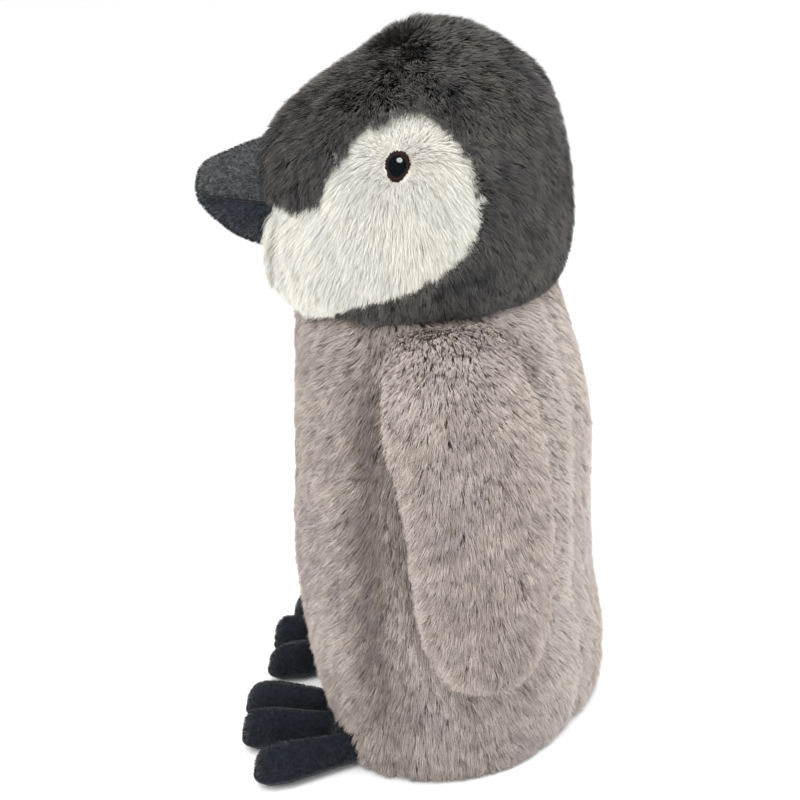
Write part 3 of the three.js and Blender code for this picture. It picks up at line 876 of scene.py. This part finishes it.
# ---------------------------------------------------------------- threads
def thread_mesh(name, paths, out, radius, flat, material, body):
    """Threads laid side by side: flattened tubes with closed ends along their paths."""
    count, stations, _ = paths.shape
    ahead = unit(np.gradient(paths, axis=1))
    side = unit(np.cross(ahead, out))
    lift = unit(np.cross(side, ahead))
    sides = 6
    angles = full_turn(sides)[None, None, :, None]
    ends = np.ones(stations)
    ends[[0, -1]] = 0.35
    thick = radius * MM * ends[None, :, None, None]
    ring = side[:, :, None] * np.cos(angles) + lift[:, :, None] * np.sin(angles) * flat
    points = (paths[:, :, None] + ring * thick).reshape(-1, 3)
    faces = []
    for n in range(count):
        base = n * stations * sides
        for k in range(stations - 1):
            a = base + k * sides
            b = a + sides
            faces += [(a + s, a + (s + 1) % sides, b + (s + 1) % sides, b + s) for s in range(sides)]
        faces.append(tuple(base + s for s in reversed(range(sides))))
        faces.append(tuple(base + (stations - 1) * sides + s for s in range(sides)))
    mesh = mesh_of(name, points.tolist(), faces)
    mesh.polygons.foreach_set("use_smooth", [True] * len(mesh.polygons))
    piece = new_piece(name, mesh, [material])
    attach(piece, body)
    return piece


class Eye:
    """The plane that an embroidered eye is stitched on, pressed onto the head."""

    def __init__(self, tree, side):
        self.tree, self.side = tree, side
        start = Vector((side * 0.2, EYE["y"] * MM, EYE["z"] * MM))
        hit, normal, _, _ = tree.ray_cast(start, Vector((-side, 0, 0)))
        self.out = np.array(normal if normal.x * side > 0 else -normal)
        self.centre = np.array(hit)
        up = unit(np.array([0, 0, 1.0]) - self.out * self.out[2])
        back = unit(np.cross(up, self.out)) * side
        lean = math.radians(EYE["lean"])
        self.up = up * math.cos(lean) + back * math.sin(lean)
        self.back = back * math.cos(lean) - up * math.sin(lean)

    def press(self, across, above, proud):
        """Points of the plane, in millimetres, moved onto the skin and then proud of it."""
        flat = self.centre + (self.back * across[..., None] + self.up * above[..., None]) * MM
        found = np.empty_like(flat).reshape(-1, 3)
        for n, point in enumerate(flat.reshape(-1, 3)):
            start = Vector(point + self.out * 0.02)
            hit = self.tree.ray_cast(start, Vector(-self.out))[0]
            found[n] = hit if hit is not None else point
        return found.reshape(flat.shape) + self.out * (proud[..., None] * MM)


def egg_half_width(above, half, tall):
    """Half width of an egg, broad end up, at a height above its middle."""
    share = np.clip(above / tall, -1, 1)
    return half * np.sqrt(1 - share**2) * (1 + 0.16 * share)


def satin_egg(eye, half, tall, pitch, crown, rng, jag):
    """Stitches that run straight across an egg, one pitch apart."""
    rows = np.arange(-tall + pitch, tall, pitch)
    reach = egg_half_width(rows, half, tall)[:, None] + rng.uniform(-jag, jag, (len(rows), 2))
    share = np.linspace(-1, 1, 11)
    across = np.where(share < 0, share * reach[:, :1], share * reach[:, 1:])
    above = rows[:, None] + 0 * across
    proud = crown * np.sqrt(np.clip(1.02 - share[None] ** 2 * 0.9 - (above / tall) ** 2 * 0.6, 0.02, 1))
    return eye.press(across, above, proud + 0.35)


def rim_stitches(eye, inner, outer, pitch, rng):
    """Short stitches that point outwards, uneven at their outer ends."""
    count = int(2 * math.pi * outer[1] / pitch)
    turn = full_turn(count)[:, None]
    share = np.linspace(0, 1, 6)[None]
    longer = rng.uniform(-0.25, 0.45, (count, 1)) * share
    half, tall = (a * 0.82 + (b - a * 0.82 + longer) * share for a, b in zip(inner, outer))
    above = tall * np.cos(turn)
    across = half * np.sin(turn) * (1 + 0.16 * np.cos(turn))
    return eye.press(across, above, 0.25 + 0.45 * np.sin(math.pi * np.clip(share, 0, 1)) + 0 * above)


def make_eye(tree, side, word, threads):
    eye = Eye(tree, side)
    rng = np.random.default_rng(60 + side)
    parts = (
        ("rim", rim_stitches(eye, EYE["pupil"], EYE["rim"], 0.34, rng), 0.24),
        ("pupil", satin_egg(eye, *EYE["pupil"], 0.36, 0.9, rng, 0.18), 0.26),
        ("glint", glint_stitches(eye, rng), 0.2),
    )
    for part, paths, radius in parts:
        piece = thread_mesh(f"{part}_stitches_{word}", paths, eye.out, radius, 0.7, threads[part], "head")
        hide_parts(f"eye_{part}_{word}")


def glint_stitches(eye, rng):
    """A few short upright stitches over the pupil."""
    columns = GLINT["back"] + np.arange(-0.85, 0.86, 0.34)
    reach = GLINT["radius"] * np.sqrt(1 - ((columns - GLINT["back"]) / (GLINT["radius"] + 0.1)) ** 2)
    share = np.linspace(-1, 1, 7)
    above = GLINT["up"] + share[None] * (reach[:, None] + rng.uniform(-0.1, 0.1, (len(columns), 1)))
    across = columns[:, None] + 0 * above
    return eye.press(across, above, 1.42 + 0.25 * np.sqrt(1 - 0.9 * share[None] ** 2) + 0 * above)


# ---------------------------------------------------------------- beak
def make_beak(cloths, fuzz):
    """The beak's two panels with their fuzz, and the mouth seam between them."""
    shell = two_panel_shell(beak_surface, 72, even_steps(beak_at, 0, 4, 46)).swollen(6.0, 0.9, stiffness=8)
    angle = shell.angles()
    slot, flow = "beak_velour", np.array([0, -1.0, -0.4])
    for part, keep in (("upper", angle < 180), ("lower", angle > 180)):
        nodes = (f"beak_{part}",)
        skin = make_skin(f"beak_{part}_velour", shell, keep, cloths[part], 0.9, "head", nodes)
        cover_with_nap(f"beak_{part}_nap", skin, fuzz[part], flow, 1.5, "head", 30)
    grid = shell.points.reshape(*shell.held.shape, 3)
    for word, column in (("left", 0), ("right", len(grid) // 2)):
        path = grid[column, 6:-1][None]
        thread_mesh(f"mouth_seam_{word}", path, np.array([0, 0, 1.0]), 0.45, 1, cloths["seam"], "head")


def even_scale(root):
    return np.ones(len(root))


def no_painted_light(root):
    return np.zeros(len(root))


def cover_with_nap(name, skin, materials, way, length, body, seed):
    """The short fuzz of a velour, which shows along its outline."""
    style = {**VELOUR_PILE, "length": length, "painted_light": no_painted_light, "seed": seed}
    cover_with_pile(name, skin, 5.5, style, lambda root: way + 0 * root, even_scale, materials, body)


# ---------------------------------------------------------------- feet
def foot_distance(x, y):
    """How far inside the foot's outline a point is, in millimetres, from above. Toes widen to the tip."""
    inside = (1 - np.hypot((x - 4) / 19, (y - 2) / 11)) * 11
    for (x0, y0), (x1, y1) in TOES:
        run = np.array([x1 - x0, y1 - y0])
        share = np.clip(((x - x0) * run[0] + (y - y0) * run[1]) / (run @ run), 0, 1)
        away = np.hypot(x - x0 - share * run[0], y - y0 - share * run[1])
        toe = ramp(share, [0, 0.5, 0.85, 1], [4.6, 6.6, 8.3, 7.2]) - away
        inside = TOE_BLEND * np.log(sum(np.exp(np.clip(v, -30, 30) / TOE_BLEND) for v in (inside, toe)))
    return inside


def uphill(flat):
    """The direction in which the foot's outline lies deepest behind each point."""
    x, y = flat.T
    reach = 0.1
    right = foot_distance(x + reach, y) - foot_distance(x - reach, y)
    back = foot_distance(x, y + reach) - foot_distance(x, y - reach)
    return unit(np.stack([right, back], -1))


def foot_plan(step):
    """A flat mesh of the foot's outline: its edge points are moved onto the outline itself."""
    xs, ys = np.arange(-36, 36.1, step), np.arange(-51, 13, step)
    x, y = np.meshgrid(xs, ys, indexing="ij")
    inside = foot_distance(x, y)
    quads = grid_quads(len(xs), len(ys))
    full = (inside.ravel()[quads] > -0.45 * step).all(1)
    used, index = np.unique(quads[full], return_inverse=True)
    flat = np.stack([x.ravel()[used], y.ravel()[used]], -1)
    quads = index.reshape(-1, 4)
    edges = np.sort(np.concatenate([quads[:, [k, (k + 1) % 4]] for k in range(4)]), axis=1)
    pairs, counts = np.unique(edges, axis=0, return_counts=True)
    rim = pairs[counts == 1]
    on_rim = np.zeros(len(flat), bool)
    on_rim[rim] = True
    for _ in range(12):
        moved = flat.copy()
        neighbour = np.zeros_like(flat)
        number = np.zeros(len(flat))
        for a, b in (rim.T, rim.T[::-1]):
            np.add.at(neighbour, a, flat[b])
            np.add.at(number, a, 1)
        moved[on_rim] = 0.5 * flat[on_rim] + 0.5 * neighbour[on_rim] / number[on_rim, None]
        off = foot_distance(*moved.T)[:, None] * uphill(moved)
        moved[on_rim] -= off[on_rim]
        flat = moved
    return flat, quads, on_rim, rim


def dome(depth, width):
    """How high a rounded edge stands, from 0 at the edge itself to 1 a width inside it."""
    return np.sqrt(1 - (1 - np.clip(depth / width, 0, 1)) ** 2)


def make_foot(side, word, cloths, fuzz):
    """A stuffed foot: a flat sole and a full upper, joined all round, with the middle toe a little higher."""
    flat, quads, on_rim, rim = foot_plan(1.1)
    depth = np.maximum(foot_distance(*flat.T), 0)
    tip = ramp(np.hypot(0.85 * flat[:, 0], flat[:, 1]), [14, 30, 42, 51], [0.94, 1.06, 1.08, 0.86])
    middle = 1 + 0.16 * bell(flat[:, 0] + 2, 8) * ramp(flat[:, 1], [-44, -8], [1, 0])
    top = np.column_stack([flat, FOOT["seam"] + FOOT["height"] * dome(depth, 7.6) * tip * middle])
    sole = np.column_stack([flat, FOOT["seam"] - FOOT["sole"] * dome(depth, 5.0)])
    closed = np.vstack([top, sole]) * MM
    faces = np.vstack([quads, quads[:, ::-1] + len(flat)])
    held = np.concatenate([on_rim, np.ones(len(flat), bool)])
    closed = swell(closed, faces, held, 5.0, 1.0)
    yaw = math.radians(FOOT["yaw"])
    turn = np.array([[math.cos(yaw), -math.sin(yaw), 0], [math.sin(yaw), math.cos(yaw), 0], [0, 0, 1]])
    askew = np.array(FOOT_ASKEW) * (side < 0)
    placed = closed @ turn.T + (np.array([FOOT["x"], FOOT["y"], FOOT["z"]]) + askew) * MM
    if side < 0:
        placed, quads = mirrored(placed), quads[:, ::-1]
    upper, under = placed[: len(flat)], placed[len(flat) :]
    body = f"foot_{word}"
    for part, points, skin_quads in (("upper", upper, quads), ("sole", under, quads[:, ::-1])):
        piece = skin_mesh(f"foot_{part}_velour_{word}", points, skin_quads, [cloths[part]], 0.8 * MM, level=1)
        declare_panel(piece, body, (f"foot_{part}_{word}", f"foot_stuffing_{word}"))
    flow = np.array([0, -1.0, -0.3])
    cover_with_nap(f"foot_nap_{word}", Skin(upper, quads), fuzz, flow, 1.1, body, 40 + side)
    make_foot_seam(word, upper, rim, cloths["upper"], body)


def make_foot_seam(word, points, rim, material, body):
    """The seam allowance: a narrow ridge that runs round between the upper and the sole."""
    follow = {}
    for a, b in rim:
        follow.setdefault(int(a), []).append(int(b))
        follow.setdefault(int(b), []).append(int(a))
    start = int(rim[0][0])
    order, before = [start], None
    while len(order) < len(follow):
        ahead = [n for n in follow[order[-1]] if n != before]
        before = order[-1]
        if ahead[0] == start:
            break
        order.append(ahead[0])
    loop = points[np.array(order)]
    curve = bpy.data.curves.new(f"foot_seam_{word}", "CURVE")
    curve.dimensions = "3D"
    curve.bevel_depth = 0.75 * MM
    curve.bevel_resolution = 2
    line = curve.splines.new("POLY")
    line.points.add(len(loop) - 1)
    line.points.foreach_set("co", np.column_stack([loop, np.ones(len(loop))]).ravel())
    line.use_cyclic_u = True
    curve.materials.append(material)
    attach(add_object(f"foot_seam_{word}", curve), body)


# ---------------------------------------------------------------- the whole toy
def fabric_shades(name):
    """The materials of one pile fabric: its shades as dyed, then those of its patches."""
    dyed = SHADES[name]
    patches = [tuple(max(0, c + d) for c, d in zip(rgb, CAST[name])) for rgb in dyed]
    return [pile_material(f"{name}_fibre_{n}", rgb) for n, rgb in enumerate(dyed + patches)]


def fuzz_shades(name, colours):
    return [pile_material(f"{name}_fuzz_{n}", rgb) for n, rgb in enumerate(colours)]


def make_torso(shades, cloth):
    shell = torso_shell()
    middles = shell.middles()
    column = shell.columns()
    x, _, z = np.abs(middles.T) / MM
    foot = FOOT["x"] + 1 + FOOT_ASKEW[0] * (middles[:, 0] < 0)
    over_feet = (np.abs(x - foot) < 19) & (middles[:, 1] < -20 * MM) & (z < 17)
    panels = (
        ("chest", "body_front_panel"),
        ("flank_left", "body_side_panel_left"),
        ("back", "body_back_panel"),
        ("flank_right", "body_side_panel_right"),
    )
    for seed, (word, node) in enumerate(panels):
        keep = np.searchsorted(TORSO_COLUMNS, column, side="right") - 1 == seed
        keep &= ~over_feet
        skin = make_skin(f"{word}_backing", shell, keep, cloth, 1.0, "torso", (node,))
        style = {**PLUSH, **PILE["body"], "painted_light": body_painted_light, "seed": 100 + seed * 10}
        cover_with_pile(f"{word}_pile", skin, 5.2, style, body_flow, body_scale, shades, "torso")


def make_base(cloth):
    shell = Shell(base_surface, full_turn(96), [share for share, _ in BASE])
    shell.quads = shell.quads[:, ::-1]
    whole = np.ones(len(shell.quads), bool)
    make_skin("base_cloth", shell, whole, cloth, 0.8, "torso", ("base_panel",))


def make_head(shades, cloths, threads):
    shell = head_shell()
    middles = shell.middles()
    face = in_face(middles)
    strip = (np.abs(middles[:, 0]) / MM < GUSSET_HALF) & ~face
    left = middles[:, 0] > 0
    inside_beak = in_beak(middles, 3)
    panels = (
        ("crown", "hood_gusset", strip, "hood"),
        ("hood_side_left", "hood_left", ~strip & ~face & left, "hood"),
        ("hood_side_right", "hood_right", ~strip & ~face & ~left, "hood"),
        ("cheek_left", "face_patch_left", face & left, "face"),
        ("cheek_right", "face_patch_right", face & ~left, "face"),
    )
    flows = {"hood": (hood_flow, hood_scale, hood_painted_light, 6.0), "face": (face_flow, face_scale, face_painted_shade, 9.5)}
    for seed, (word, node, keep, fabric) in enumerate(panels):
        flow, scale, painted_light, density = flows[fabric]
        keep, slot = keep & ~inside_beak, f"{fabric}_pile"
        skin = make_skin(f"{word}_backing", shell, keep, cloths[fabric], 1.0, "head", (node,))
        style = {**PLUSH, **PILE[fabric], "painted_light": painted_light, "seed": 200 + seed * 10}
        cover_with_pile(f"{word}_pile", skin, density, style, flow, scale, shades[fabric], "head")
    triangles = np.vstack([shell.quads[:, [0, 1, 2]], shell.quads[:, [0, 2, 3]]])
    tree = BVHTree.FromPolygons([Vector(p) for p in shell.points], triangles.tolist())
    for side, word in SIDES:
        make_eye(tree, side, word, threads)


def make_wings(shades, cloth):
    shell = two_panel_shell(wing_surface, 56, even_steps(wing_at, 0, 2, 58)).swollen(2.5, 1.5)
    angle = shell.angles()
    parts = (("outer", angle < 180, wing_scale, 6.5), ("inner", angle > 180, inner_wing_scale, 2.2))
    for side, word in SIDES:
        body, slot = f"wing_{word}", "wing_pile"
        for part, keep, scale, density in parts:
            nodes = (f"wing_{part}_panel_{word}", f"shoulder_seam_{word}")
            name = f"wing_{part}_backing_{word}"
            skin = make_skin(name, shell, keep, cloth, 0.9, body, nodes, side < 0)
            style = {**PLUSH, **PILE["wing"], "painted_light": wing_painted_light, "seed": 300 + 10 * side + (part == "inner")}
            name = f"wing_{part}_pile_{word}"
            cover_with_pile(name, skin, density, style, wing_flow, scale, shades, body)


def dress_inner_nodes():
    """The CAD solids that stay as they are, inside the toy, each with its own fabric."""
    fibre = cloth_material("stuffing_fibre", (214, 212, 206), (244, 243, 240), 3, bump=0.6)
    lining = cloth_material("lining_cloth", (150, 148, 144), (176, 174, 170), 1.2)
    for name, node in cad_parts.items():
        if node.hide_render:
            continue
        material = fibre if "stuffing" in name else lining
        node.data.materials.clear()
        node.data.materials.append(material)


add_camera()
add_studio()
shades = {name: fabric_shades(name) for name in SHADES}
# The backings are darker than their pile: painted shade between the strands, over the cloth's own blotches.
body_cloth = cloth_material("body_backing", (92, 84, 77), (120, 110, 102), 3)
hood_cloth = cloth_material("hood_backing", (26, 26, 27), (44, 43, 43), 3)
face_cloth = cloth_material("face_backing", (186, 182, 171), (212, 208, 198), 3)
base_cloth = cloth_material("base_cloth", (120, 112, 104), (148, 138, 129), 1.5)
VELOUR = dict(grain=1.6, bump=0.5)
THREADS = {  # dark, light, sheen, roughness, specular
    "rim": ((22, 12, 13), (42, 25, 26), 0, 0.7, 0.1),
    "pupil": ((2, 6, 10), (6, 12, 18), 0, 0.7, 0.05),
    "glint": ((132, 135, 132), (162, 164, 160), 0.1, 0.6, 0.2),
}
beak_cloths = {
    "upper": cloth_material("beak_upper_velour", (60, 62, 64), (78, 80, 81), sheen=0.25, **VELOUR),
    "lower": cloth_material("beak_lower_velour", (34, 39, 45), (48, 54, 60), sheen=0.25, **VELOUR),
    "seam": cloth_material("mouth_seam_thread", (18, 19, 22), (30, 31, 34), 0.8),
}
foot_cloths = {
    "upper": cloth_material("foot_velour", (17, 21, 28), (28, 33, 41), sheen=0.2, **VELOUR),
    # The sole is a little darker than the upper: painted shade under the foot.
    "sole": cloth_material("sole_velour", (16, 20, 26), (26, 30, 37), sheen=0.05, **VELOUR),
}
threads = {
    part: cloth_material(f"eye_{part}_thread", dark, light, 0.7, 0.2, *looks)
    for part, (dark, light, *looks) in THREADS.items()
}
beak_fuzz = {
    "upper": fuzz_shades("beak_upper", [(42, 44, 46), (66, 68, 69), (94, 95, 95)]),
    "lower": fuzz_shades("beak_lower", [(25, 29, 35), (42, 47, 53), (60, 65, 70)]),
}
foot_fuzz = fuzz_shades("foot", [(17, 21, 27), (26, 30, 37), (38, 43, 50)])

make_torso(shades["body"], body_cloth)
make_base(base_cloth)
make_head(shades, {"hood": hood_cloth, "face": face_cloth}, threads)
make_beak(beak_cloths, beak_fuzz)
make_wings(shades["wing"], body_cloth)
for side, word in SIDES:
    make_foot(side, word, foot_cloths, foot_fuzz)
dress_inner_nodes()
